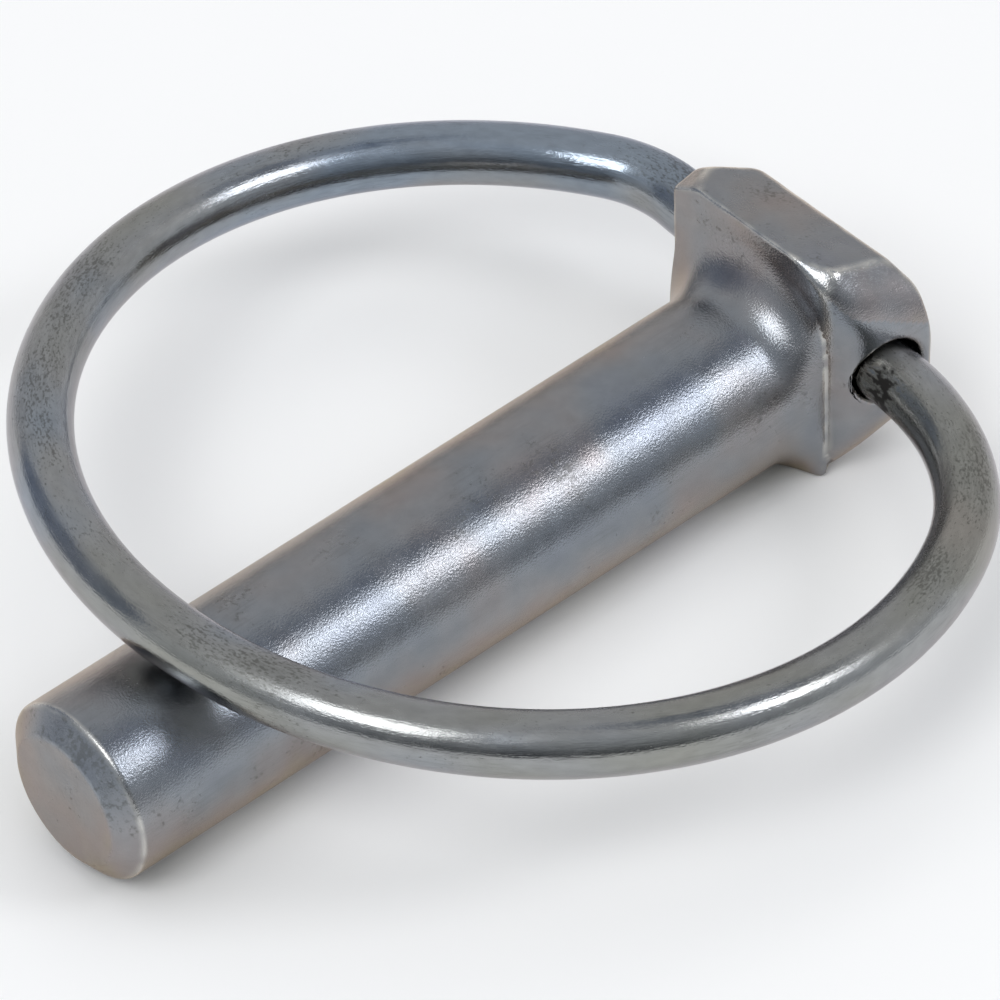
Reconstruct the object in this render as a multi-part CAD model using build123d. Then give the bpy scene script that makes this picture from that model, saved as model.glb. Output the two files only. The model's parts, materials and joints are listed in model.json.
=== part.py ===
from build123d import *
import math
import os

# A lynch pin: one forged pin with a blocky head, and one bent wire ring that hinges in the head's cross bore.
# +X runs along the shank to its tip, +Z is up, and the origin is where the shank's straight part meets the neck.
# The near side is +Y and the far side is -Y. The pin lies on the flush side of its head and on its shank.

# Shank and tip
shank_diameter = 11.0
shank_length = 48.2
tip_bevel_length = 1.1
tip_flat_diameter = 8.0

# Neck: a hollow flare from the shank to the underside of the head
neck_radius = 3.0

# Head: depths are measured from the underside, which faces the tip, heights are across the head,
# and reaches are measured sideways from the shank's axis
head_height = 15.4
head_width = 16.4
head_flush_step = 0.05
top_edge_width = 10.0
crown_depth = 5.1
crown_height = 12.2
crown_width = 10.6
side_facet_depth = 5.7
side_facet_height = 5.8
near_ridge_reach = 5.6
near_shoulder_reach = 7.1
near_shoulder_depth = 0.7
far_edge_reach = 7.1
far_edge_height = 13.0
far_corner_depth = 2.45
far_corner_reach = 6.7
end_depth_near = 6.0
end_depth_far = 7.3
end_face_height = 4.4
head_edge_round = 0.3

# Cross bore: it slants a little across the head, from the near face to the far face
bore_play = 0.45
bore_depth_near = 3.1
bore_depth_far = 4.3

# Ring: its wire runs straight out of each end of the bore and bends into the round loop
wire_diameter = 3.8
ring_mean_diameter = 52.0
ring_chord_depth = 4.3
ring_shift = -0.4
near_bend_radius = 16.2
far_bend_radius = 7.4
wire_end_gap = 5.0
rest_gap = 0.57

# One overrun serves every cut
overrun = 2.0

shank_radius = shank_diameter / 2
wire_radius = wire_diameter / 2
ring_radius = ring_mean_diameter / 2
ring_reach = ring_radius - ring_chord_depth
bore_radius = wire_radius + bore_play
head_mid_height = head_height / 2 - shank_radius - head_flush_step
underside_x = -neck_radius


def make_shank():
    """The round shank with its bevelled tip, turned about the X axis."""
    straight_end = shank_length - tip_bevel_length
    outline = Polyline(
        (underside_x, 0),
        (underside_x, shank_radius),
        (straight_end, shank_radius),
        (shank_length, tip_flat_diameter / 2),
        (shank_length, 0),
        close=True,
    )
    return revolve(make_face(outline), Axis.X)


def make_neck():
    """The hollow flare, trimmed to the width of the underside and to the head's flush side."""
    rim = shank_radius + neck_radius
    flare = CenterArc((0, rim), neck_radius, 180, 90)
    sides = Polyline((0, shank_radius), (0, 0), (underside_x, 0), (underside_x, rim))
    trumpet = revolve(make_face([flare, sides]), Axis.X)
    middle_y = (near_ridge_reach - far_edge_reach) / 2
    block = Box(neck_radius, near_ridge_reach + far_edge_reach, head_height)
    return trumpet & Pos(underside_x / 2, middle_y, head_mid_height) * block


def head_profile():
    """The head seen along the bore: faces that slope in to the crown's edges, the crown and the end."""
    half = [
        (0, head_height / 2),
        (crown_depth, crown_height / 2),
        (end_depth_far, end_face_height / 2),
    ]
    mirrored = [(depth, -height) for depth, height in reversed(half)]
    points = [(underside_x - depth, head_mid_height + height) for depth, height in half + mirrored]
    face = make_face(Plane.XZ * Polyline(*points, close=True))
    return extrude(face, head_width / 2 + overrun, both=True)


def head_plan():
    """The head seen from above: a bevelled ridge on the near side, flaring sides and a slanted end."""
    points = [
        (0, near_ridge_reach),
        (near_shoulder_depth, near_shoulder_reach),
        (end_depth_near, head_width / 2),
        (end_depth_far, -head_width / 2),
        (0, -far_edge_reach),
    ]
    face = make_face(Polyline(*[(underside_x - depth, y) for depth, y in points], close=True))
    return Pos(0, 0, head_mid_height) * extrude(face, head_height / 2 + overrun, both=True)


def facet_cut(*corners):
    """The block outside a facet through three corners, given as depth, sideways place and height."""
    a, b, c = [Vector(underside_x - depth, y, height) for depth, y, height in corners]
    normal = (b - a).cross(c - a)
    outward = normal if normal.dot(Vector(0, a.Y, a.Z)) > 0 else -normal
    facet = Plane(origin=a + Vector(0, 0, head_mid_height), z_dir=outward)
    size = 2 * head_height
    return facet * Pos(0, 0, size / 2) * Box(size, size, size)


def corner_cuts(level):
    """The cuts above or below: a long facet on the near side, and two on the far side that meet at a corner."""
    slope = (head_height - crown_height) / (2 * crown_depth)
    near_edge = (0, top_edge_width / 2, level * head_height / 2)
    far_edge = (0, -top_edge_width / 2, level * head_height / 2)
    far_corner = (far_corner_depth, -far_corner_reach, level * (head_height / 2 - far_corner_depth * slope))
    near_crown = (crown_depth, crown_width / 2, level * crown_height / 2)
    far_crown = (crown_depth, -crown_width / 2, level * crown_height / 2)
    near_side = (side_facet_depth, head_width / 2, level * side_facet_height / 2)
    far_side = (side_facet_depth, -head_width / 2, level * side_facet_height / 2)
    far_outer = (0, -far_edge_reach, level * far_edge_height / 2)
    yield facet_cut(near_edge, near_crown, near_side)
    yield facet_cut(far_edge, far_outer, far_corner)
    yield facet_cut(far_corner, far_crown, far_side)


def hinge_line():
    """The cross bore's middle point, and its direction from the near side to the far side."""
    middle_depth = (bore_depth_near + bore_depth_far) / 2
    middle = Vector(underside_x - middle_depth, 0, head_mid_height)
    return middle, Vector(bore_depth_near - bore_depth_far, -head_width, 0).normalized()


def make_head():
    """The forged block with its corner facets and softened edges."""
    block = head_profile() & head_plan()
    for level in (1, -1):
        for cut in corner_cuts(level):
            block -= cut
    soft = block.edges().filter_by(lambda edge: edge.center().X < underside_x - near_shoulder_depth)
    return fillet(soft, head_edge_round)


def make_pin():
    """Shank, neck and head in one piece, with the cross bore."""
    middle, direction = hinge_line()
    bore = Plane(origin=middle, z_dir=direction) * Cylinder(bore_radius, head_width + 2 * overrun)
    return make_shank() + make_neck() + make_head() - bore


def bend_start(bend_radius):
    """How far from the loop's middle a bend leaves the bore's line, so that it meets the loop smoothly."""
    return math.sqrt(ring_chord_depth * (2 * (ring_radius - bend_radius) - ring_chord_depth))


def rest_angle():
    """How far the ring is raised, so that its far side lies just clear of the top of the shank."""
    rise = shank_radius + wire_radius + rest_gap - head_mid_height
    return math.asin(rise / (ring_reach + ring_radius))


def ring_plane():
    """The ring's own plane: its x runs along the bore to the far side and its y towards the tip."""
    middle, direction = hinge_line()
    tipward = Vector(-direction.Y, direction.X, 0)
    lean = rest_angle()
    normal = Vector(0, 0, math.cos(lean)) - tipward * math.sin(lean)
    return Plane(origin=middle, x_dir=direction, z_dir=normal)


def make_ring():
    """One length of round wire: a straight end, a bend, the loop, a tighter bend and the other straight end."""
    near_start = bend_start(near_bend_radius)
    far_start = bend_start(far_bend_radius)
    near_angle = math.degrees(math.atan2(near_bend_radius - ring_reach, -near_start)) % 360
    far_angle = math.degrees(math.atan2(far_bend_radius - ring_reach, far_start)) % 360
    down_angle = 270
    near_end = Line((-wire_end_gap / 2, 0), (ring_shift - near_start, 0))
    near_arc = JernArc(near_end @ 1, near_end % 1, near_bend_radius, near_angle - down_angle)
    loop = JernArc(near_arc @ 1, near_arc % 1, ring_radius, far_angle - 360 - near_angle)
    far_arc = JernArc(loop @ 1, loop % 1, far_bend_radius, down_angle - far_angle)
    far_end = Line((ring_shift + far_start, 0), (wire_end_gap / 2, 0))
    path = Wire([near_end, near_arc, loop, far_arc, far_end])
    section = Plane(origin=near_end @ 0, z_dir=near_end % 0) * Circle(wire_radius)
    return ring_plane() * sweep(section, path=path)


os.makedirs("parts", exist_ok=True)
for name, shape in (("pin", make_pin()), ("ring", make_ring())):
    export_step(shape, f"parts/{name}.step")
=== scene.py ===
"""A lynch pin, dressed: zinc-plated forged pin and spring-wire ring, lying on a pale studio floor."""

import itertools
import json
import logging
import math
from dataclasses import dataclass
from enum import Enum, IntEnum
from typing import Any, Iterator, Sequence

import bmesh
import bpy
import numpy as np
from bpy.types import Material, Mesh, Node, NodeSocket as Socket, NodeTree as Tree, Object
from mathutils import Matrix, Vector


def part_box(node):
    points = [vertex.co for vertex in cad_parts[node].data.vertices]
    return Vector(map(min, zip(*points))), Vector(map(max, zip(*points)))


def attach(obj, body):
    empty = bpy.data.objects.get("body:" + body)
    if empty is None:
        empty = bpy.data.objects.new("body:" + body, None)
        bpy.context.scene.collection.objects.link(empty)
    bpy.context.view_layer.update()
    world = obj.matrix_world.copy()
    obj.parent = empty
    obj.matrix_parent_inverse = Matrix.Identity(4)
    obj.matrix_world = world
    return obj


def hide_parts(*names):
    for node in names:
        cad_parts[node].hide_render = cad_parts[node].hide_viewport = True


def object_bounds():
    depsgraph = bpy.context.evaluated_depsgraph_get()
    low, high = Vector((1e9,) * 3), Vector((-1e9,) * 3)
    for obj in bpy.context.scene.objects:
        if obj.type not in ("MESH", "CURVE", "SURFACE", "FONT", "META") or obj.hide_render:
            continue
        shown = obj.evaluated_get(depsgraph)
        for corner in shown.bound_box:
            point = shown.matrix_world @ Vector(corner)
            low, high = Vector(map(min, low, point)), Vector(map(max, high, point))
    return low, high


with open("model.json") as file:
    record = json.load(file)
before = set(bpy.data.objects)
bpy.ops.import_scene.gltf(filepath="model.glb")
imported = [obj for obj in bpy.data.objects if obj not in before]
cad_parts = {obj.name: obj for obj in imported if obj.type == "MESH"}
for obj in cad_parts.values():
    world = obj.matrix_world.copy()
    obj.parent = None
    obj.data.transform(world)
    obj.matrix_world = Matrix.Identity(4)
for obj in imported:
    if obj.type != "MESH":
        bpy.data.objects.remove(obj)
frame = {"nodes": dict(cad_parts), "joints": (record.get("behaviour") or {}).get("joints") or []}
cad_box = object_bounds()

log = logging.getLogger("lynch_pin")

MM = 0.001

# Numbers that scatter the corners of the noise's lattice
HASH_AXES = np.array([73856093, 19349663, 83492791])
HASH_SEED = 40503
HASH_MIX = 1274126177
HASH_WORD = 0xFFFFFFFF
HASH_VALUES = 0xFFFF

# The sockets of a Mix node that blends colours
MIX_SHARE, MIX_UNDER, MIX_OVER, MIX_RESULT = 0, 6, 7, 2

Points = np.ndarray
Face = tuple[np.ndarray, np.ndarray]
Way = tuple[float, float, float]
Colour = tuple[float, float, float, float]


class Hue(Enum):
    """The colours of the plate, its dirt and the studio, as sRGB hex values."""

    PLATE_BLUE = "878d96"
    PLATE_STEEL = "8b9096"
    PLATE_GREY = "919295"
    PLATE_PINK = "959090"
    PLATE_STRAW = "989388"
    WIRE_BLUE = "909ba7"
    WIRE_OLIVE = "949590"
    WIRE_GREY = "999b9c"
    WIRE_STRAW = "98958f"
    BARE_STEEL = "d4d3ce"
    PIT = "45453e"
    # Black of the dirt spots and of the painted shade in the bore and at its near mouth
    GRIME_AND_SHADE = "1b1a17"
    WARM_EDGE = "fff0e2"
    WIRE_EDGE = "f2edf0"
    FLOOR = "f8f8f7"
    BACK_WALL = "d4d4d5"
    CEILING = "d0d3d8"
    SIDE_WALL = "aaaeb3"
    DARK_ROOM = "4a4c50"
    OPEN_WALL = "ffffff"
    DARK_GAP = "a4adbe"
    KEY_LIGHT = "fbfbff"
    FILL_LIGHT = "ffffff"


class Seed(IntEnum):
    """Which of the noises each unevenness takes."""

    EDGES = 3
    DENTS = 5
    RIPPLE = 7
    BEATEN = 9
    PATCHES = 11
    RIDGE = 21
    RIDGE_FINE = 23
    WIRE_DULL = 31


def linear(hue: Hue) -> Colour:
    """Turns a colour's sRGB hex value into linear light.

    Args:
        hue: The colour.

    Returns:
        Red, green, blue and full alpha.
    """
    shares = [int(hue.value[i:i + 2], 16) / 255 for i in (0, 2, 4)]
    lit = [s / 12.92 if s <= 0.04045 else ((s + 0.055) / 1.055) ** 2.4 for s in shares]
    return lit[0], lit[1], lit[2], 1.0


def add(tree: Tree, kind: str, inputs: dict[Any, Any] | None = None, **settings: Any) -> Node:
    """Adds a node with its settings, values and links.

    Args:
        tree: The material's or world's node tree.
        kind: The node's Blender type, without its ShaderNode prefix.
        inputs: Values or output sockets, by the name or number of the input.
        settings: Properties of the node.

    Returns:
        The new node.
    """
    made = tree.nodes.new("ShaderNode" + kind)
    for name, value in settings.items():
        setattr(made, name, value)
    for name, value in (inputs or {}).items():
        if isinstance(value, Socket):
            tree.links.new(value, made.inputs[name])
        else:
            made.inputs[name].default_value = value
    return made


def ramp_stops(ramp: Node, stops: Sequence[tuple[float, Hue]]) -> Socket:
    """Sets a colour ramp's stops.

    Args:
        ramp: The colour ramp node.
        stops: Place and colour of each stop, in order.

    Returns:
        The ramp's colour output.
    """
    elements = ramp.color_ramp.elements
    while len(elements) < len(stops):
        elements.new(1.0)
    for element, (place, hue) in zip(elements, stops):
        element.position = place
        element.color = linear(hue)
    return ramp.outputs["Color"]


def per_metre(size_mm: float) -> float:
    """The texture scale that makes one cell of a pattern that many millimetres wide."""
    return 1 / (size_mm * MM)


def lattice_noise(points: Points, cell: float, seed: Seed) -> Points:
    """Smooth noise between -1 and 1, the same on every run.

    Args:
        points: Places, one row each.
        cell: Width of one cell of the noise.
        seed: Which of the noises to take.

    Returns:
        One value for each place.
    """
    scaled = points / cell
    base = np.floor(scaled).astype(np.int64)
    part = scaled - base
    ease = part**3 * (part * (part * 6 - 15) + 10)
    total = np.zeros(len(points))
    for corner in itertools.product((0, 1), repeat=3):
        key = (base + np.array(corner)) * HASH_AXES
        mixed = key[:, 0] ^ key[:, 1] ^ key[:, 2] ^ (int(seed) * HASH_SEED)
        mixed = ((mixed ^ (mixed >> 13)) * HASH_MIX) & HASH_WORD
        value = ((mixed ^ (mixed >> 16)) & HASH_VALUES) / (HASH_VALUES / 2) - 1
        total += value * np.prod(np.where(corner, ease, 1 - ease), axis=1)
    return total


def bumps(points: Points, cell: float, seed: Seed) -> Points:
    """The lattice noise, brought between 0 and 1."""
    return 0.5 + 0.5 * lattice_noise(points, cell, seed)


def smooth_max(a: Points, b: Points, blend: float | Points) -> Points:
    """The larger of two distances, with the edge between them rounded over a width."""
    near = np.maximum(blend - np.abs(a - b), 0) / blend
    return np.maximum(a, b) + near**2 * blend / 4


@dataclass(frozen=True)
class ZincPlate:
    """Bright zinc plate on steel, blue-white passivated, handled and a little dirty.

    The eye gets a soft metal gloss, patches of faint blue, pink and straw from the passivate, which on the
    pin also lean to blue or straw as a painted reflection, a fine sparkle from the plate's grain, brighter
    bare edges, and black dirt spots and painted shade in the bore and at its near mouth. Sizes in _mm are
    real ones.
    The plate's crystals are far finer than its grain here, which is drawn as coarse as it needs to show.
    """

    name: str
    tints: tuple[Hue, ...]
    patch_mm: float
    mottle_mm: float
    mottle_share: float
    pit_mm: float
    pit_share: float
    pit_gather: float
    dull_pit_share: float
    grain_mm: float
    grain_height_mm: float
    line_width_mm: float
    line_length_mm: float
    line_height_mm: float
    line_dark_share: float
    roughness: float
    dull_roughness: float
    edge: Hue
    space: str = ""
    noise_roughness: float = 0.55
    noise_low: float = 0.3
    noise_high: float = 0.7
    patch_detail: float = 2.0
    tint_lean: float = 0.35
    tint_low: float = 0.25
    tint_high: float = 0.75
    mottle_detail: float = 5.0
    gather_size: float = 0.6
    pit_detail: float = 6.0
    pit_start: float = 0.69
    pit_fade: float = 0.14
    pit_roughness: float = 0.25
    line_detail: float = 3.0
    streak_start: float = 1.05
    streak_full: float = 1.3
    grain_detail: float = 3.0
    # The dark layer of dirt spots and painted shade: noise size and detail, thresholds, metal and roughness
    grime_size: float = 0.6
    grime_detail: float = 4.0
    grime_start: float = 0.78
    grime_full: float = 1.0
    grime_metallic: float = 0.3
    grime_roughness: float = 0.4
    smear_size: float = 2.0
    smear_detail: float = 4.0
    gloss_spread: float = 0.05
    worn_polish: float = 0.08

    def material(self) -> Material:
        """Builds the material.

        Returns:
            The new material.
        """
        made = bpy.data.materials.new(self.name)
        made.use_nodes = True
        tree = made.node_tree
        tree.nodes.clear()
        if self.space:
            place = add(tree, "Attribute", attribute_name=self.space).outputs["Vector"]
        else:
            place = add(tree, "TexCoord").outputs["Object"]
        lines = self.lines(tree, place)
        dull = add(tree, "Attribute", attribute_name="dull").outputs["Fac"]
        marks = self.marks(tree, place, lines, dull)
        # Dark layer: dirt spots and painted shade, from the mesh's attribute
        grime = self.grime(tree, place)
        worn = add(tree, "Attribute", attribute_name="worn").outputs["Fac"]
        # Colour lean: passivate patches, and on the pin a painted reflection by facing
        tint = add(tree, "Attribute", attribute_name="tint").outputs["Fac"]
        metal = add(tree, "MapRange", {"Value": grime, "To Min": 1.0, "To Max": self.grime_metallic})
        shader = add(tree, "BsdfPrincipled", {
            "Base Color": self.colour(tree, place, tint, marks, grime, worn),
            "Metallic": metal.outputs[0],
            "Roughness": self.gloss(tree, place, dull, marks, grime, worn),
            "Specular Tint": linear(self.edge),
            "Normal": self.relief(tree, place, lines),
        })
        add(tree, "OutputMaterial", {"Surface": shader.outputs[0]})
        return made

    def cells(self, place: Socket, size_mm: float, detail: float) -> dict[str, Any]:
        """The inputs of a noise, from the width of its cells and its number of finer layers."""
        scale = per_metre(size_mm)
        return {"Vector": place, "Scale": scale, "Detail": detail, "Roughness": self.noise_roughness}

    def lines(self, tree: Tree, place: Socket) -> Socket:
        """Long narrow streaks along the metal, as drawing and rolling leave them.

        Args:
            tree: The material's node tree.
            place: Where the streaks are looked up.

        Returns:
            The streaks' value output.
        """
        wide = per_metre(self.line_width_mm)
        stretch = Vector((per_metre(self.line_length_mm), wide, wide))
        along = add(tree, "Mapping", {"Vector": place, "Scale": stretch}).outputs[0]
        return add(tree, "TexNoise", {"Vector": along, "Scale": 1.0, "Detail": self.line_detail}).outputs[0]

    def marks(self, tree: Tree, place: Socket, lines: Socket, dull: Socket) -> Socket:
        """Small dark pits, more of them where the plate is dull, and the darkest of the streaks.

        Args:
            tree: The material's node tree.
            place: Where the pits are looked up.
            lines: The streaks.
            dull: How dull the plate is.

        Returns:
            A value from 0, clean plate, to 1, dark.
        """
        clusters = self.cells(place, self.patch_mm * self.gather_size, self.patch_detail)
        gathered = add(tree, "TexNoise", clusters).outputs[0]
        spots = add(tree, "TexNoise", self.cells(place, self.pit_mm, self.pit_detail)).outputs[0]
        crowding = {0: dull, 1: self.dull_pit_share, 2: spots}
        crowded = add(tree, "Math", crowding, operation="MULTIPLY_ADD").outputs[0]
        gathering = {0: gathered, 1: self.pit_gather, 2: crowded}
        both = add(tree, "Math", gathering, operation="MULTIPLY_ADD").outputs[0]
        fewest = self.pit_start + 0.5 * self.pit_gather
        pits = add(tree, "MapRange", {
            "Value": both, "From Min": fewest, "From Max": fewest + self.pit_fade, "To Max": self.pit_share,
        }).outputs[0]
        streaked = add(tree, "Math", {0: lines, 1: gathered}, operation="ADD").outputs[0]
        streaks = add(tree, "MapRange", {
            "Value": streaked, "From Min": self.streak_start, "From Max": self.streak_full,
            "To Max": self.line_dark_share,
        }).outputs[0]
        return add(tree, "Math", {0: pits, 1: streaks}, operation="MAXIMUM").outputs[0]

    def grime(self, tree: Tree, place: Socket) -> Socket:
        """Black dirt spots and painted shade, thick where the mesh says so and broken up by noise.

        Args:
            tree: The material's node tree.
            place: Where the noise is looked up.

        Returns:
            A value from 0, clean, to 1, black.
        """
        amount = add(tree, "Attribute", attribute_name="grime").outputs["Fac"]
        broken = self.cells(place, self.mottle_mm * self.grime_size, self.grime_detail)
        spots = add(tree, "TexNoise", broken).outputs[0]
        total = add(tree, "Math", {0: amount, 1: spots}, operation="ADD").outputs[0]
        bounds = {"Value": total, "From Min": self.grime_start, "From Max": self.grime_full}
        return add(tree, "MapRange", bounds).outputs[0]

    def colour(
        self, tree: Tree, place: Socket, tint: Socket, marks: Socket, grime: Socket, worn: Socket
    ) -> Socket:
        """Passivate tints in slow patches, mottled, bare on worn edges and dark in pits, dirt spots and
        painted shade.

        Args:
            tree: The material's node tree.
            place: Where the noise is looked up.
            tint: How far the colour leans from blue to straw, for the passivate and, on the pin, a painted
                reflection.
            marks: How pitted or streaked the surface is.
            grime: How much dirt and painted shade darken the surface.
            worn: How worn the surface is.

        Returns:
            The colour output.
        """
        cloud = add(tree, "TexNoise", self.cells(place, self.patch_mm, self.patch_detail)).outputs[0]
        leaning = {0: tint, 1: self.tint_lean, 2: cloud}
        patches = add(tree, "Math", leaning, operation="MULTIPLY_ADD").outputs[0]
        step = (self.tint_high - self.tint_low) / (len(self.tints) - 1)
        stops = [(self.tint_low + i * step, hue) for i, hue in enumerate(self.tints)]
        tinted = ramp_stops(add(tree, "ValToRGB", {"Fac": patches}), stops)
        mottle = add(tree, "TexNoise", self.cells(place, self.mottle_mm, self.mottle_detail)).outputs[0]
        shade = add(tree, "MapRange", {
            "Value": mottle, "From Min": self.noise_low, "From Max": self.noise_high,
            "To Min": 1 - self.mottle_share, "To Max": 1 + self.mottle_share,
        }).outputs[0]
        shading = {MIX_SHARE: 1.0, MIX_UNDER: tinted, MIX_OVER: shade}
        shown = add(tree, "Mix", shading, data_type="RGBA", blend_type="MULTIPLY").outputs[MIX_RESULT]
        # Pits, then bare edges, then the black of dirt spots and painted shade over all
        for share, hue in ((marks, Hue.PIT), (worn, Hue.BARE_STEEL), (grime, Hue.GRIME_AND_SHADE)):
            layer = {MIX_SHARE: share, MIX_UNDER: shown, MIX_OVER: linear(hue)}
            shown = add(tree, "Mix", layer, data_type="RGBA").outputs[MIX_RESULT]
        return shown

    def gloss(
        self, tree: Tree, place: Socket, dull: Socket, marks: Socket, grime: Socket, worn: Socket
    ) -> Socket:
        """Roughness: uneven over the plate, lower on worn edges and dull in pits, dirt spots and painted
        shade.

        Args:
            tree: The material's node tree.
            place: Where the noise is looked up.
            dull: How dull the plate is.
            marks: How pitted or streaked the surface is.
            grime: How much dirt and painted shade cover the surface.
            worn: How worn the surface is.

        Returns:
            The roughness output.
        """
        smears = self.cells(place, self.mottle_mm * self.smear_size, self.smear_detail)
        smear = add(tree, "TexNoise", smears).outputs[0]
        rough = add(tree, "MapRange", {
            "Value": smear, "From Min": self.noise_low, "From Max": self.noise_high,
            "To Min": self.roughness - self.gloss_spread, "To Max": self.roughness + self.gloss_spread,
        }).outputs[0]
        layers = (
            (worn, -self.worn_polish),
            (dull, self.dull_roughness),
            (marks, self.pit_roughness),
            (grime, self.grime_roughness),
        )
        for share, change in layers:
            rough = add(tree, "Math", {0: share, 1: change, 2: rough}, operation="MULTIPLY_ADD").outputs[0]
        return rough

    def relief(self, tree: Tree, place: Socket, lines: Socket) -> Socket:
        """The plate's fine grain over lengthwise draw lines.

        Args:
            tree: The material's node tree.
            place: Where the grain is looked up.
            lines: The draw lines.

        Returns:
            The normal output.
        """
        grain = add(tree, "TexNoise", self.cells(place, self.grain_mm, self.grain_detail)).outputs[0]
        drawn = {"Height": lines, "Distance": self.line_height_mm * MM, "Strength": 1.0}
        under = add(tree, "Bump", drawn).outputs[0]
        grained = {"Height": grain, "Distance": self.grain_height_mm * MM, "Strength": 1.0, "Normal": under}
        return add(tree, "Bump", grained).outputs[0]


# Zinc on a forged blank: soft gloss with a sparkle like orange peel, warm tints on the head's near corner,
# and a painted reflection, blue on the sides that face up and towards +Y and straw on those that face away
PIN_PLATE = ZincPlate(
    name="zinc_plate_on_forged_steel",
    tints=(Hue.PLATE_BLUE, Hue.PLATE_STEEL, Hue.PLATE_GREY, Hue.PLATE_PINK, Hue.PLATE_STRAW),
    patch_mm=7.0, mottle_mm=1.0, mottle_share=0.06,
    pit_mm=0.3, pit_share=0.4, pit_gather=1.0, dull_pit_share=0.16,
    grain_mm=0.12, grain_height_mm=0.022,
    line_width_mm=0.16, line_length_mm=3.0, line_height_mm=0.004, line_dark_share=0.12,
    roughness=0.22, dull_roughness=0.14, edge=Hue.WARM_EDGE,
)

# Zinc on drawn spring wire: smoother and brighter, with short dark specks along the draw
WIRE_PLATE = ZincPlate(
    name="zinc_plate_on_drawn_wire",
    tints=(Hue.WIRE_BLUE, Hue.WIRE_GREY, Hue.WIRE_OLIVE, Hue.WIRE_STRAW),
    patch_mm=6.0, mottle_mm=0.5, mottle_share=0.08,
    pit_mm=0.13, pit_share=0.55, pit_gather=0.5, dull_pit_share=0.17,
    grain_mm=0.12, grain_height_mm=0.01,
    line_width_mm=0.12, line_length_mm=0.6, line_height_mm=0.01, line_dark_share=0.2,
    roughness=0.12, dull_roughness=0.2, edge=Hue.WIRE_EDGE,
    space="wire_space",
)


def new_object(name: str, mesh: Mesh, material: Material) -> Object:
    """Links a mesh to the scene as a piece with one material.

    Args:
        name: The piece's name.
        mesh: Its mesh, in metres.
        material: Its material.

    Returns:
        The new object.
    """
    mesh.name = name
    mesh.materials.clear()
    mesh.materials.append(material)
    made = bpy.data.objects.new(name, mesh)
    bpy.context.scene.collection.objects.link(made)
    return made


def set_attribute(mesh: Mesh, name: str, values: Points) -> None:
    """Stores one number or vector for each point of a mesh.

    Args:
        mesh: The mesh.
        name: The attribute's name.
        values: One number, or one row of three, for each point.
    """
    kind, field_name = ("FLOAT_VECTOR", "vector") if values.ndim == 2 else ("FLOAT", "value")
    made = mesh.attributes.new(name, kind, "POINT")
    made.data.foreach_set(field_name, values.astype(np.float32).ravel())


@dataclass
class Hinge:
    """The cross bore's line, about which the ring turns: a point and the way to the far side, in mm."""

    middle: Points
    direction: Points

    @classmethod
    def from_frame(cls) -> "Hinge":
        """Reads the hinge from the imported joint.

        Returns:
            The hinge.
        """
        joint = frame["joints"][0]
        way = np.array(joint["axis"], float)
        return cls(np.array(joint["pos_m"], float) / MM, way / np.linalg.norm(way))

    def tipward(self) -> Points:
        """The level way from the line towards the pin's tip."""
        return np.array([-self.direction[1], self.direction[0], 0.0])

    def from_middle(self, points: Points) -> Points:
        """How far along the line points lie from its middle, to either side."""
        return np.abs((points - self.middle) @ self.direction)

    def distance(self, points: Points) -> Points:
        """Distances of points from the line."""
        away = points - self.middle
        return np.linalg.norm(away - np.outer(away @ self.direction, self.direction), axis=1)


@dataclass(frozen=True)
class Forging:
    """How uneven forging, plating and handling leave the pin. Lengths are in millimetres."""

    rounding_cell: float = 1.6
    rounding_spread: float = 0.35
    ridge_wave: float = 0.16
    ridge_reach: float = 0.5
    ridge_cell: float = 1.9
    ridge_share: float = 0.3
    ridge_fine_cell: float = 0.6
    ridge_fine_share: float = 0.2
    dent_cell: float = 2.4
    dent_depth: float = 0.05
    dent_end: float = 1.0
    dent_fade: float = 2.0
    beaten_cell: float = 0.8
    beaten_depth: float = 0.035
    beaten_radius: float = 1.2
    ripple_cell: float = 1.3
    ripple_depth: float = 0.012
    ripple_stretch: Way = (0.35, 1.0, 1.0)


@dataclass(frozen=True)
class PinWear:
    """Where the pin's plate is worn, tinted or dull, where painted shade falls in the bore and beside its
    near mouth, and where a painted reflection turns it blue or straw. Lengths are in millimetres.
    """

    edge_width: float = 0.5
    edge_sharp: float = 1e-6
    edge_gain: float = 1.2
    edge_start: float = 0.2
    head_margin: float = 0.05
    ridge: float = 0.85
    ridge_line: float = 0.06
    ridge_margin: float = 0.3
    shoulder: float = 0.7
    shoulder_line: float = 0.12
    mouth: float = 0.7
    mouth_line: float = 0.14
    corner: float = 0.85
    corner_radius: float = 1.1
    patch_cell: float = 0.7
    patch_swing: float = 0.7
    patch_lift: float = 0.3
    # Painted reflection: surfaces that face this way turn blue, those that face away straw
    reflection_way: Way = (0.0, 0.62, 0.78)
    lean_base: float = 0.4
    reflection_lean: float = 0.8
    lean_range: tuple[float, float] = (-0.4, 0.5)
    top_facing: float = 0.9
    side_facing: float = 0.5
    corner_facing: float = 0.3
    end_facing: float = 0.95
    corner_tint: float = 0.6
    top_tint: float = -0.05
    tip_tint: float = -0.25
    bevel_dull: float = 0.9
    top_dull: float = 0.6
    # Painted shade: a little deep in the bore, and a soft patch beside the bore's near mouth
    bore_grime: float = 0.1
    bore_reach: float = 0.15
    smear_grime: float = 0.27
    mouth_shade_offset: float = 0.4
    mouth_shade_radius: float = 0.8


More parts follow.
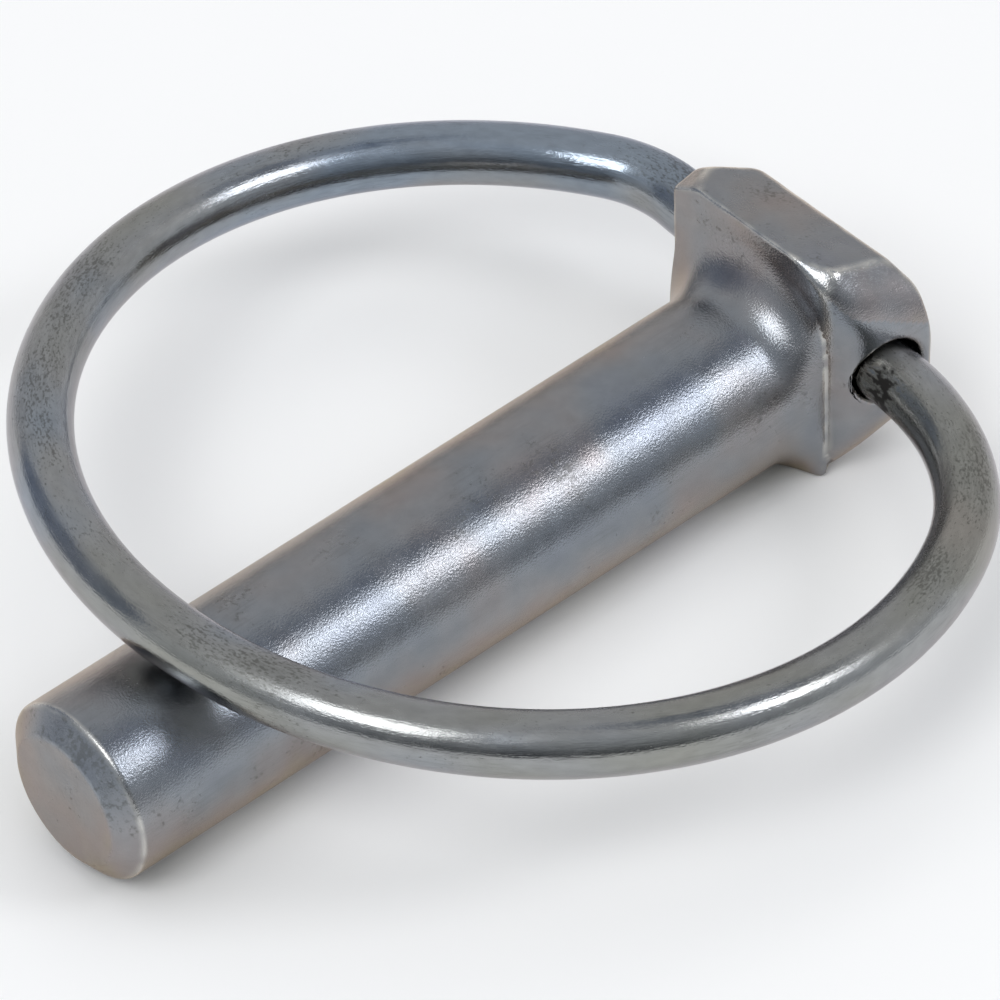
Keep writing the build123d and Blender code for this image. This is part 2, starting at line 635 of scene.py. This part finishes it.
@dataclass
class Pin:
    """The forged pin: shank, hollow neck and faceted head with its cross bore. Sizes are in millimetres."""

    hinge: Hinge
    shank_radius: float = 5.5
    shank_length: float = 48.2
    tip_bevel_length: float = 1.1
    tip_flat_radius: float = 4.0
    tip_round: float = 0.16
    neck_radius: float = 3.0
    neck_inset: float = 0.12
    neck_flush_inset: float = 0.02
    neck_overlap: float = 0.3
    neck_near_inset: float = 0.03
    neck_near_round: float = 0.9
    neck_clear_start: float = 1.2
    neck_clear_slope: float = 0.8
    neck_clear_soft: float = 0.6
    trim_round: float = 0.1
    head_height: float = 15.4
    head_width: float = 16.4
    top_edge_width: float = 10.0
    crown_depth: float = 5.1
    crown_height: float = 12.2
    crown_width: float = 10.6
    side_facet_depth: float = 5.7
    side_facet_height: float = 5.8
    near_ridge_reach: float = 5.6
    near_shoulder_reach: float = 7.1
    near_shoulder_depth: float = 0.7
    near_round: float = 1.4
    far_edge_reach: float = 7.1
    far_edge_height: float = 13.0
    far_corner_depth: float = 2.45
    far_corner_reach: float = 6.7
    end_depth_near: float = 6.0
    end_depth_far: float = 7.3
    end_face_height: float = 4.4
    edge_round: float = 0.3
    worn_corner_depth: float = 0.85
    worn_corner_way: Way = (0.54, 0.38, 0.75)
    bore_radius: float = 2.35
    bore_lip: float = 0.3
    mouth_shift: Way = (-0.08, 0.0, 0.08)
    mouth_round: float = 0.4
    lip_start: float = 5.6
    lip_length: float = 1.2
    voxel: float = 0.18
    merge_metres: float = 1e-7
    slope_step: float = 0.02
    fit_rounds: int = 5
    forging: Forging = Forging()
    wear: PinWear = PinWear()

    def __post_init__(self) -> None:
        """Works out the places that several methods need, and the head's faces."""
        self.mid = float(self.hinge.middle[2])
        self.under = -self.neck_radius
        self.straight_end = self.shank_length - self.tip_bevel_length
        self.near_corner = self.corner(0, self.top_edge_width / 2, self.head_height / 2)
        self.facets = list(self.head_facets())
        self.near_facets = list(self.near_side_facets())

    def corner(self, depth: float, y: float, height: float) -> Points:
        """A point of the head, by its depth behind the underside, its y and its height over the middle."""
        return np.array([self.under - depth, y, self.mid + height])

    def upright(self, plan: Sequence[tuple[float, float]]) -> Iterator[Face]:
        """The upright faces along a line of the head's plan, which is given as depths and sides."""
        for (d0, y0), (d1, y1) in itertools.pairwise(plan):
            yield self.face(self.corner(d0, y0, 0), self.corner(d1, y1, 0), self.corner(d0, y0, 1))

    def head_facets(self) -> Iterator[Face]:
        """The head's flat faces.

        Returns:
            Pairs of a point on the face and its outward normal.
        """
        half_width = self.head_width / 2
        slope = (self.head_height - self.crown_height) / (2 * self.crown_depth)
        corner_height = self.head_height - 2 * self.far_corner_depth * slope
        for level in (0.5, -0.5):
            near_edge = self.corner(0, self.top_edge_width / 2, level * self.head_height)
            far_edge = self.corner(0, -self.top_edge_width / 2, level * self.head_height)
            near_crown = self.corner(self.crown_depth, self.crown_width / 2, level * self.crown_height)
            far_crown = self.corner(self.crown_depth, -self.crown_width / 2, level * self.crown_height)
            far_side = self.corner(self.side_facet_depth, -half_width, level * self.side_facet_height)
            far_corner = self.corner(self.far_corner_depth, -self.far_corner_reach, level * corner_height)
            far_outer = self.corner(0, -self.far_edge_reach, level * self.far_edge_height)
            end = self.corner(self.end_depth_far, 0, level * self.end_face_height)
            yield self.face(near_edge, far_edge, near_crown)
            yield self.face(near_crown, far_crown, end)
            yield self.face(far_edge, far_outer, far_corner)
            yield self.face(far_corner, far_crown, far_side)
        yield from self.upright([
            (self.end_depth_near, half_width),
            (self.end_depth_far, -half_width),
            (0, -self.far_edge_reach),
            (0, self.near_ridge_reach),
        ])
        way = np.array(self.worn_corner_way)
        yield self.near_corner - way * self.worn_corner_depth, way / np.linalg.norm(way)

    def near_side_facets(self) -> Iterator[Face]:
        """The near side's faces, which run softly into each other: ridge bevel, side and two corners.

        Returns:
            Pairs of a point on the face and its outward normal.
        """
        half_width = self.head_width / 2
        yield from self.upright([
            (0, self.near_ridge_reach),
            (self.near_shoulder_depth, self.near_shoulder_reach),
            (self.end_depth_near, half_width),
        ])
        for level in (0.5, -0.5):
            yield self.face(
                self.corner(0, self.top_edge_width / 2, level * self.head_height),
                self.corner(self.crown_depth, self.crown_width / 2, level * self.crown_height),
                self.corner(self.side_facet_depth, half_width, level * self.side_facet_height),
            )

    def face(self, a: Points, b: Points, c: Points) -> Face:
        """A flat face through three points, facing away from the head's inside.

        Args:
            a: The first point.
            b: The second point.
            c: The third point.

        Returns:
            A point on the face and its outward normal.
        """
        normal = np.cross(b - a, c - a)
        normal = normal / np.linalg.norm(normal)
        inside = self.corner(self.far_corner_depth, 0, 0)
        return a, normal if (a - inside) @ normal > 0 else -normal

    def rounding(self, points: Points) -> Points:
        """How widely the head's edges are rounded at each place."""
        uneven = lattice_noise(points, self.forging.rounding_cell, Seed.EDGES)
        return self.edge_round * (1 + self.forging.rounding_spread * uneven)

    def head(self, points: Points, round_over: float | Points) -> Points:
        """Distance outside the faceted head, with its edges rounded over.

        Args:
            points: Places in millimetres.
            round_over: Width of the rounding.

        Returns:
            One distance for each place, negative inside.
        """
        joined = []
        for facets, blend in ((self.facets, round_over), (self.near_facets, self.near_round)):
            flats = [(points - origin) @ normal for origin, normal in facets]
            total = flats[0]
            for flat in flats[1:]:
                total = smooth_max(total, flat, blend)
            joined.append(total)
        x, _, z = points.T
        level = np.stack([0 * z, 0 * z, z], axis=1)
        made = self.forging
        slow = made.ridge_share * lattice_noise(level, made.ridge_cell, Seed.RIDGE)
        fine = made.ridge_fine_share * lattice_noise(level, made.ridge_fine_cell, Seed.RIDGE_FINE)
        wave = 0.5 + slow + fine
        wavy = joined[1] + made.ridge_wave * wave * np.exp(-np.abs(x - self.under) / made.ridge_reach)
        return smooth_max(joined[0], wavy, round_over)

    def shank(self, points: Points) -> Points:
        """Distance outside the shank, its bevelled tip and the hollow neck.

        Args:
            points: Places in millimetres.

        Returns:
            One distance for each place, negative inside.
        """
        x, y, z = points.T
        rho = np.hypot(y, z)
        rim = self.shank_radius + self.neck_radius
        flare = np.maximum(self.neck_radius - np.hypot(x, rho - rim), rho - rim)
        body = np.where(x < 0, flare, rho - self.shank_radius)
        bevel = np.array([self.shank_radius - self.tip_flat_radius, self.tip_bevel_length])
        bevel = bevel / np.linalg.norm(bevel)
        tip = (x - self.shank_length) * bevel[0] + (rho - self.tip_flat_radius) * bevel[1]
        body = smooth_max(body, tip, self.tip_round)
        body = smooth_max(body, x - self.shank_length, self.trim_round)
        past = x + self.neck_clear_start
        clear = self.neck_clear_slope * (past + np.hypot(past, self.neck_clear_soft)) / 2
        near_trim = y - self.near_ridge_reach + self.neck_near_inset - clear
        body = smooth_max(body, near_trim, self.neck_near_round)
        body = smooth_max(body, -y - self.far_edge_reach + self.neck_inset, self.trim_round)
        flush_inset = np.maximum(self.neck_inset - clear, self.neck_flush_inset)
        flush_trim = np.abs(z - self.mid) - self.head_height / 2 + flush_inset
        body = smooth_max(body, flush_trim, self.trim_round)
        return smooth_max(body, self.under - self.neck_overlap - x, self.trim_round)

    def hole(self, points: Points) -> Points:
        """Distance inside the cross bore, which narrows at its mouths and lies off the wire's middle there.

        Args:
            points: Places in millimetres.

        Returns:
            One distance for each place, positive in the hole.
        """
        lip = np.clip((self.hinge.from_middle(points) - self.lip_start) / self.lip_length, 0, 1)
        moved = points - np.outer(lip, self.mouth_shift)
        return self.bore_radius - self.bore_lip * lip - self.hinge.distance(moved)

    def from_corner(self, points: Points) -> Points:
        """Distances of points from the head's near top corner."""
        return np.linalg.norm(points - self.near_corner, axis=1)

    def distance(self, points: Points) -> Points:
        """Distance outside the whole pin, with the unevenness of forging and handling.

        Args:
            points: Places in millimetres.

        Returns:
            One distance for each place, negative inside.
        """
        made = self.forging
        whole = np.minimum(self.head(points, self.rounding(points)), self.shank(points))
        whole = smooth_max(whole, self.hole(points), self.mouth_round)
        forged = np.clip((made.dent_end - points[:, 0]) / made.dent_fade, 0, 1)
        dents = made.dent_depth * forged * bumps(points, made.dent_cell, Seed.DENTS)
        stretched = points * np.array(made.ripple_stretch)
        ripple = made.ripple_depth * bumps(stretched, made.ripple_cell, Seed.RIPPLE)
        beaten = np.exp(-(self.from_corner(points) / made.beaten_radius) ** 2)
        hammered = made.beaten_depth * beaten * bumps(points, made.beaten_cell, Seed.BEATEN)
        return whole + dents + ripple + hammered

    def slope(self, points: Points) -> Points:
        """The way out of the pin at each place, scaled by how fast the distance grows.

        Args:
            points: Places in millimetres.

        Returns:
            One row for each place.
        """
        ways = np.eye(3) * self.slope_step
        growth = [self.distance(points + way) - self.distance(points - way) for way in ways]
        return np.stack(growth, axis=1) / (2 * self.slope_step)

    def blank(self) -> Mesh:
        """Cuts the CAD pin's surface into small even faces.

        Returns:
            The mesh in millimetres, before it is fitted.
        """
        rough = frame["nodes"]["pin"].data.copy()
        merged = bmesh.new()
        merged.from_mesh(rough)
        bmesh.ops.remove_doubles(merged, verts=merged.verts, dist=self.merge_metres)
        merged.transform(Matrix.Scale(1 / MM, 4))
        merged.to_mesh(rough)
        merged.free()
        carrier = bpy.data.objects.new("pin_blank", rough)
        bpy.context.scene.collection.objects.link(carrier)
        remesh = carrier.modifiers.new("remesh", "REMESH")
        remesh.mode = "VOXEL"
        remesh.voxel_size = self.voxel
        seen = carrier.evaluated_get(bpy.context.evaluated_depsgraph_get())
        mesh = bpy.data.meshes.new_from_object(seen)
        bpy.data.objects.remove(carrier)
        return mesh

    def build(self) -> Object:
        """Makes the pin's fine mesh, fits it to the forged surface and dresses it.

        Returns:
            The pin's piece.
        """
        mesh = self.blank()
        points = np.empty(len(mesh.vertices) * 3)
        mesh.vertices.foreach_get("co", points)
        points = points.reshape(-1, 3)
        for _ in range(self.fit_rounds):
            slope = self.slope(points)
            points = points - slope * (self.distance(points) / (slope**2).sum(1))[:, None]
        slope = self.slope(points)
        mesh.vertices.foreach_set("co", (points * MM).ravel())
        normals = slope / np.linalg.norm(slope, axis=1)[:, None]
        set_attribute(mesh, "worn", self.worn(points))
        # Dark layer: dirt spots and painted shade in and beside the bore
        set_attribute(mesh, "grime", self.grime(points))
        # Colour lean: a painted reflection by facing, with set leans on some facets
        set_attribute(mesh, "tint", self.tint(points, normals))
        set_attribute(mesh, "dull", self.dull(points, normals))
        mesh.shade_smooth()
        mesh.update()
        mesh.normals_split_custom_set_from_vertices(normals)
        piece = new_object("forged_pin", mesh, PIN_PLATE.material())
        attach(piece, "pin")
        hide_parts("pin")
        return piece

    def worn(self, points: Points) -> Points:
        """How bare each point is: on the head's edges, ridge and near corner, the mouths and the shoulder.

        Args:
            points: Places on the pin in millimetres.

        Returns:
            Values from 0 to 1.
        """
        wear = self.wear
        x, y, _ = points.T
        rounded = self.head(points, wear.edge_width) - self.head(points, wear.edge_sharp)
        sharpness = rounded / (wear.edge_width / 4)
        join = np.maximum(np.abs(self.head(points, self.rounding(points))), np.abs(self.shank(points)))
        ridge = np.exp(-(join / wear.ridge_line) ** 2) * (y > self.near_ridge_reach - wear.ridge_margin)
        shoulder = wear.shoulder * np.exp(-((x - self.straight_end) / wear.shoulder_line) ** 2)
        at_mouth = np.abs(y) > self.lip_start + self.lip_length
        mouth = wear.mouth * np.exp(-(self.hole(points) / wear.mouth_line) ** 2) * at_mouth
        blob = np.exp(-(self.from_corner(points) / wear.corner_radius) ** 4)
        patchy = 0.5 + wear.patch_swing * lattice_noise(points, wear.patch_cell, Seed.PATCHES)
        on_head = x < self.under + wear.head_margin
        edges = np.clip(sharpness * wear.edge_gain - wear.edge_start, 0, 1) * np.clip(patchy, 0, 1) * on_head
        bare = np.maximum(mouth, shoulder) * np.clip(patchy + wear.patch_lift, 0, 1)
        return np.maximum.reduce([edges, bare, wear.ridge * ridge, wear.corner * blob])

    def tint(self, points: Points, normals: Points) -> Points:
        """How far the colour leans from blue, below 0, to straw, above 0: a painted reflection, blue on the
        sides that face up and towards +Y and straw on those that face away, with set leans on the head's near
        corner, its top and the tip.

        Args:
            points: Places on the pin in millimetres.
            normals: The way out at each place.

        Returns:
            Values from -1 to 1.
        """
        wear = self.wear
        # Painted reflection: blue where the surface faces up and towards +Y, straw where it faces away
        upper = normals @ np.array(wear.reflection_way)
        lean = np.clip(wear.lean_base - wear.reflection_lean * upper, *wear.lean_range)
        on_head = points[:, 0] < self.under
        top = on_head & (normals[:, 2] > wear.top_facing)
        corner = on_head & (normals[:, 1] > wear.side_facing) & (normals[:, 2] > wear.corner_facing)
        tip = points[:, 0] > self.straight_end
        return lean + wear.corner_tint * corner + wear.top_tint * top + wear.tip_tint * tip

    def dull(self, points: Points, normals: Points) -> Points:
        """How dull each point is: most on the sheared tip's bevel and on the head's flat top.

        Args:
            points: Places on the pin in millimetres.
            normals: The way out at each place.

        Returns:
            Values from 0 to 1.
        """
        bevel = (points[:, 0] > self.straight_end) & (normals[:, 0] < self.wear.end_facing)
        top = (points[:, 0] < self.under) & (np.abs(normals[:, 2]) > self.wear.top_facing)
        return self.wear.bevel_dull * bevel + self.wear.top_dull * top

    def grime(self, points: Points) -> Points:
        """How much painted shade each point takes: a little deep in the bore, broken into dark spots, and a
        soft patch beside its near mouth.

        Args:
            points: Places on the pin in millimetres.

        Returns:
            Values from 0 to 1.
        """
        wear = self.wear
        from_bore = self.hinge.distance(points) - self.bore_radius
        deep = self.hinge.from_middle(points) < self.lip_start
        # Painted shade deep in the bore, which the material's noise breaks into dark spots
        inside = np.exp(-np.maximum(from_bore, 0) / wear.bore_reach) * deep * (points[:, 0] < self.under)
        # Painted shade in a soft patch beside the near mouth, on its tipward side
        near_mouth = self.hinge.middle - self.hinge.direction * self.near_shoulder_reach
        beside = near_mouth + self.hinge.tipward() * (self.bore_radius + wear.mouth_shade_offset)
        smear = np.exp(-(np.linalg.norm(points - beside, axis=1) / wear.mouth_shade_radius) ** 2)
        return wear.bore_grime * inside + wear.smear_grime * smear


@dataclass(frozen=True)
class RingWear:
    """Where the wire's plate is tinted or dull, and where painted shade falls on it at the bore's near mouth.
    Lengths are in millimetres and angles in radians.
    """

    # Painted shade on the wire's tipward side, where it leaves the bore's near mouth
    wire_shade_amount: float = 0.55
    wire_shade_place: float = 6.5
    wire_shade_length: float = 2.0
    wire_shade_turn: float = 0.1
    dull_amount: float = 0.9
    dull_power: float = 1.5
    dull_loss: float = 0.1
    dull_swing: float = 0.6
    dull_cell: float = 2.0
    blue_start: float = 0.66
    blue_fade: float = 0.1
    blue_lean: float = 0.6


@dataclass
class Ring:
    """The bent wire ring. Sizes are in millimetres."""

    hinge: Hinge
    wire_radius: float = 1.9
    plate_dip: float = 0.015
    loop_radius: float = 26.0
    chord_depth: float = 4.3
    shift: float = -0.4
    near_bend: float = 16.2
    far_bend: float = 7.4
    end_gap: float = 5.0
    end_round: float = 0.3
    spacing: float = 0.22
    sides: int = 48
    drawn_share: float = 0.45
    wear: RingWear = RingWear()

    def bend_start(self, bend: float) -> float:
        """How far from the loop's middle a bend of that radius leaves the bore's line."""
        return math.sqrt(self.chord_depth * (2 * (self.loop_radius - bend) - self.chord_depth))

    def legs(self) -> list[tuple[float, float]]:
        """The wire's runs and bends from its near end.

        Returns:
            The length of each and the angle that it turns through.
        """
        reach = self.loop_radius - self.chord_depth
        near, far = self.bend_start(self.near_bend), self.bend_start(self.far_bend)
        near_turn = math.atan2(near, reach - self.near_bend)
        far_turn = math.atan2(far, reach - self.far_bend)
        loop_turn = math.tau - near_turn - far_turn
        return [
            (near - self.shift - self.end_gap / 2, 0.0),
            (self.near_bend * near_turn, near_turn),
            (self.loop_radius * loop_turn, loop_turn),
            (self.far_bend * far_turn, far_turn),
            (far + self.shift - self.end_gap / 2, 0.0),
        ]

    def path(self) -> Points:
        """The wire's middle line in the ring's own plane.

        Returns:
            Rows of two coordinates, the heading in radians and the length so far.
        """
        rows = []
        start, heading, done = np.array([-self.end_gap / 2, 0.0]), math.pi, 0.0
        for length, turn in self.legs():
            steps = math.ceil(length / self.spacing)
            for share in np.linspace(0, 1, steps + 1):
                now = heading - turn * share
                if turn:
                    swing = [math.sin(heading) - math.sin(now), math.cos(now) - math.cos(heading)]
                    at = start + length / turn * np.array(swing)
                else:
                    at = start + length * share * np.array([math.cos(now), math.sin(now)])
                if share or not rows:
                    rows.append((*at, now, done + length * share))
            start, heading, done = at, now, done + length
        return np.array(rows)

    def lean(self) -> float:
        """How far the ring is raised at rest, read from the CAD ring's highest point."""
        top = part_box("ring")[1].z / MM - self.wire_radius
        return math.asin((top - self.hinge.middle[2]) / (2 * self.loop_radius - self.chord_depth))

    def tube(self, points: Points) -> Mesh:
        """Joins rings of points to a closed tube.

        Args:
            points: Places in millimetres, one ring after another.

        Returns:
            The mesh in metres.
        """
        sides, last = self.sides, len(points) - self.sides
        faces = []
        for here, side in itertools.product(range(0, last, sides), range(sides)):
            there, after = here + sides, (side + 1) % sides
            faces.append((here + side, here + after, there + after, there + side))
        caps = [tuple(range(sides))[::-1], tuple(range(last, len(points)))]
        mesh = bpy.data.meshes.new("wire_ring")
        mesh.from_pydata((points * MM).tolist(), [], faces + caps)
        closed = bmesh.new()
        closed.from_mesh(mesh)
        bmesh.ops.recalc_face_normals(closed, faces=closed.faces)
        closed.to_mesh(mesh)
        closed.free()
        mesh.shade_smooth()
        return mesh

    def dress(self, mesh: Mesh, along: Points, turn: Points) -> None:
        """Marks where painted shade falls on the wire at the bore's near mouth, where it is blue or dull, and
        how far each point lies along and round it.

        Args:
            mesh: The wire's mesh.
            along: Length along the wire of each ring of points.
            turn: Angle round the wire of each point in a ring.
        """
        wear, rows = self.wear, len(along)
        wire_space = np.stack([
            np.repeat(along * self.drawn_share, self.sides),
            np.tile(np.cos(turn) * self.wire_radius, rows),
            np.tile(np.sin(turn) * self.wire_radius, rows),
        ], axis=1)
        set_attribute(mesh, "wire_space", wire_space * MM)
        # Painted shade on the tipward side of the wire at the bore's near mouth, carried by the dark layer
        near_mouth = wear.wire_shade_amount * np.exp(-((along - wear.wire_shade_place) / wear.wire_shade_length) ** 2)
        tipward_side = np.clip(-np.cos(turn + wear.wire_shade_turn), 0, 1)
        set_attribute(mesh, "grime", np.outer(near_mouth, tipward_side).ravel())
        set_attribute(mesh, "worn", np.zeros(rows * self.sides))
        far_run = np.clip((along / along[-1] - wear.blue_start) / wear.blue_fade, 0, 1)
        set_attribute(mesh, "tint", np.repeat(-wear.blue_lean * far_run, self.sides))
        upper = np.tile(np.maximum(np.sin(turn), 0) ** wear.dull_power, rows)
        patchy = wear.dull_swing * lattice_noise(wire_space, wear.dull_cell, Seed.WIRE_DULL)
        set_attribute(mesh, "dull", np.clip(wear.dull_amount * upper - wear.dull_loss + patchy, 0, 1))

    def build(self) -> Object:
        """Makes the wire's smooth tube, and dresses it.

        Returns:
            The ring's piece.
        """
        across, tipward = self.hinge.direction, self.hinge.tipward()
        upward = np.array([0.0, 0.0, 1.0])
        lean = self.lean()
        rise = tipward * math.cos(lean) + upward * math.sin(lean)
        normal = upward * math.cos(lean) - tipward * math.sin(lean)
        x, y, heading, along = self.path().T
        middle = self.hinge.middle + np.outer(x, across) + np.outer(y, rise)
        side = np.outer(-np.sin(heading), across) + np.outer(np.cos(heading), rise)
        from_end = np.minimum(along, along[-1] - along)
        radius = self.wire_radius - self.plate_dip - np.maximum(self.end_round - from_end, 0)
        turn = np.linspace(0, math.tau, self.sides, endpoint=False)
        spread = side[:, None, :] * np.cos(turn)[None, :, None] + normal * np.sin(turn)[None, :, None]
        points = (middle[:, None, :] + radius[:, None, None] * spread).reshape(-1, 3)
        mesh = self.tube(points)
        self.dress(mesh, along, turn)
        piece = new_object("wire_ring", mesh, WIRE_PLATE.material())
        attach(piece, "ring")
        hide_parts("ring")
        return piece


@dataclass(frozen=True)
class Softbox:
    """A square soft lamp that faces the origin. Sizes are in millimetres and angles in degrees."""

    name: str
    azimuth: float
    elevation: float
    distance: float
    size: float
    watts: float
    hue: Hue
    in_reflections: bool = True


@dataclass(frozen=True)
class DarkGap:
    """A gap between the studio's panels: its direction, and the cosines where it begins and is full."""

    azimuth: float
    elevation: float
    begins: float
    full: float


@dataclass
class Studio:
    """A pale floor under soft light, and the camera. Sizes are in millimetres and angles in degrees."""

    floor_size: float = 3000.0
    floor_roughness: float = 0.9
    floor_specular: float = 0.1
    lamps: tuple[Softbox, ...] = (
        Softbox("key_softbox", azimuth=129.5, elevation=42.6, distance=900.0,
                size=260.0, watts=1.3, hue=Hue.KEY_LIGHT),
        Softbox("front_softbox", azimuth=18.0, elevation=52.0, distance=900.0,
                size=400.0, watts=2.2, hue=Hue.FILL_LIGHT),
        Softbox("overhead_fill", azimuth=0.0, elevation=90.0, distance=1200.0,
                size=1500.0, watts=3.5, hue=Hue.FILL_LIGHT, in_reflections=False),
    )
    dark_room_way: Way = (0.55, 0.8, -0.5)
    walls: tuple[tuple[float, Hue], ...] = (
        (0.3, Hue.BACK_WALL),
        (0.5, Hue.CEILING),
        (0.75, Hue.SIDE_WALL),
        (0.97, Hue.DARK_ROOM),
    )
    dark_gaps: tuple[DarkGap, ...] = (
        DarkGap(azimuth=160.0, elevation=60.0, begins=0.96, full=0.985),
        DarkGap(azimuth=-60.0, elevation=20.0, begins=0.899, full=0.927),
    )
    camera_azimuth: float = 49.68
    camera_elevation: float = 43.709
    camera_roll: float = -2.006
    camera_distance: float = 483.29
    camera_aim: Way = (9.94, -7.80, -7.95)
    camera_nearest: float = 10.0
    focal_px: float = 8426.16
    image_px: float = 1000.0
    sensor: float = 36.0

    def way(self, azimuth: float, elevation: float) -> Vector:
        """The unit vector that points at an azimuth from +X and an elevation."""
        a, e = math.radians(azimuth), math.radians(elevation)
        return Vector((math.cos(e) * math.cos(a), math.cos(e) * math.sin(a), math.sin(e)))

    def floor(self) -> None:
        """Lays the pale floor under the lowest point of the pin."""
        half = self.floor_size / 2 * MM
        mesh = bpy.data.meshes.new("studio_floor")
        corners = [(-half, -half, 0), (half, -half, 0), (half, half, 0), (-half, half, 0)]
        mesh.from_pydata(corners, [], [(0, 1, 2, 3)])
        # Matt background paper: an even pale ground that keeps a soft shadow
        made = bpy.data.materials.new("matt_white_paper")
        made.use_nodes = True
        shader = made.node_tree.nodes["Principled BSDF"]
        shader.inputs["Base Color"].default_value = linear(Hue.FLOOR)
        shader.inputs["Roughness"].default_value = self.floor_roughness
        shader.inputs["Specular IOR Level"].default_value = self.floor_specular
        floor = new_object("studio_floor", mesh, made)
        floor.location.z = cad_box[0].z

    def hang(self, lamp: Softbox) -> None:
        """Hangs a lamp.

        Args:
            lamp: Its place, size and light.
        """
        data = bpy.data.lights.new(lamp.name, "AREA")
        data.size = lamp.size * MM
        data.energy = lamp.watts
        data.color = linear(lamp.hue)[:3]
        made = bpy.data.objects.new(lamp.name, data)
        place = self.way(lamp.azimuth, lamp.elevation) * lamp.distance * MM
        made.location = place
        made.rotation_euler = (-place).to_track_quat("-Z", "Y").to_euler()
        made.visible_glossy = lamp.in_reflections
        bpy.context.scene.collection.objects.link(made)

    def room(self) -> None:
        """Sets the studio's walls and ceiling and the dark gaps between them, which the metal shows."""
        world = bpy.data.worlds.new("studio_walls")
        bpy.context.scene.world = world
        world.use_nodes = True
        tree = world.node_tree
        tree.nodes.clear()
        ways = add(tree, "TexCoord").outputs["Generated"]
        dark_room = {0: ways, 1: self.dark_room_way}
        faced = add(tree, "VectorMath", dark_room, operation="DOT_PRODUCT").outputs["Value"]
        share = add(tree, "MapRange", {"Value": faced, "From Min": -1.0, "From Max": 1.0}).outputs[0]
        seen = ramp_stops(add(tree, "ValToRGB", {"Fac": share}), self.walls)
        for gap in self.dark_gaps:
            way = self.way(gap.azimuth, gap.elevation)
            toward = add(tree, "VectorMath", {0: ways, 1: way}, operation="DOT_PRODUCT").outputs["Value"]
            stops = [(gap.begins, Hue.OPEN_WALL), (gap.full, Hue.DARK_GAP)]
            shade = ramp_stops(add(tree, "ValToRGB", {"Fac": toward}), stops)
            shading = {MIX_SHARE: 1.0, MIX_UNDER: seen, MIX_OVER: shade}
            seen = add(tree, "Mix", shading, data_type="RGBA", blend_type="MULTIPLY").outputs[MIX_RESULT]
        add(tree, "OutputWorld", {0: add(tree, "Background", {"Color": seen}).outputs[0]})

    def camera(self) -> None:
        """Sets up the camera at the photograph's place."""
        back = self.way(self.camera_azimuth, self.camera_elevation)
        level = Vector((0, 0, 1)).cross(back).normalized()
        right = Matrix.Rotation(math.radians(self.camera_roll), 3, back) @ level
        upward = back.cross(right)
        data = bpy.data.cameras.new("camera")
        data.sensor_width = self.sensor
        data.lens = self.focal_px / self.image_px * self.sensor
        data.clip_start = self.camera_nearest * MM
        made = bpy.data.objects.new("camera", data)
        place = (Vector(self.camera_aim) + back * self.camera_distance) * MM
        turned = Matrix((right, upward, back)).transposed()
        made.matrix_world = Matrix.LocRotScale(place, turned, None)
        bpy.context.scene.collection.objects.link(made)
        bpy.context.scene.camera = made

    def build(self) -> None:
        """Builds floor, light and camera."""
        bpy.context.scene.view_settings.view_transform = "Standard"
        self.floor()
        for lamp in self.lamps:
            self.hang(lamp)
        self.room()
        self.camera()


def main() -> None:
    """Builds the pieces in order and reports each."""
    logging.basicConfig(level=logging.INFO)
    hinge = Hinge.from_frame()
    for part in (Pin(hinge), Ring(hinge)):
        piece = part.build()
        log.info("%s: %d faces", piece.name, len(piece.data.polygons))
    Studio().build()


if __name__ == "__main__":
    main()
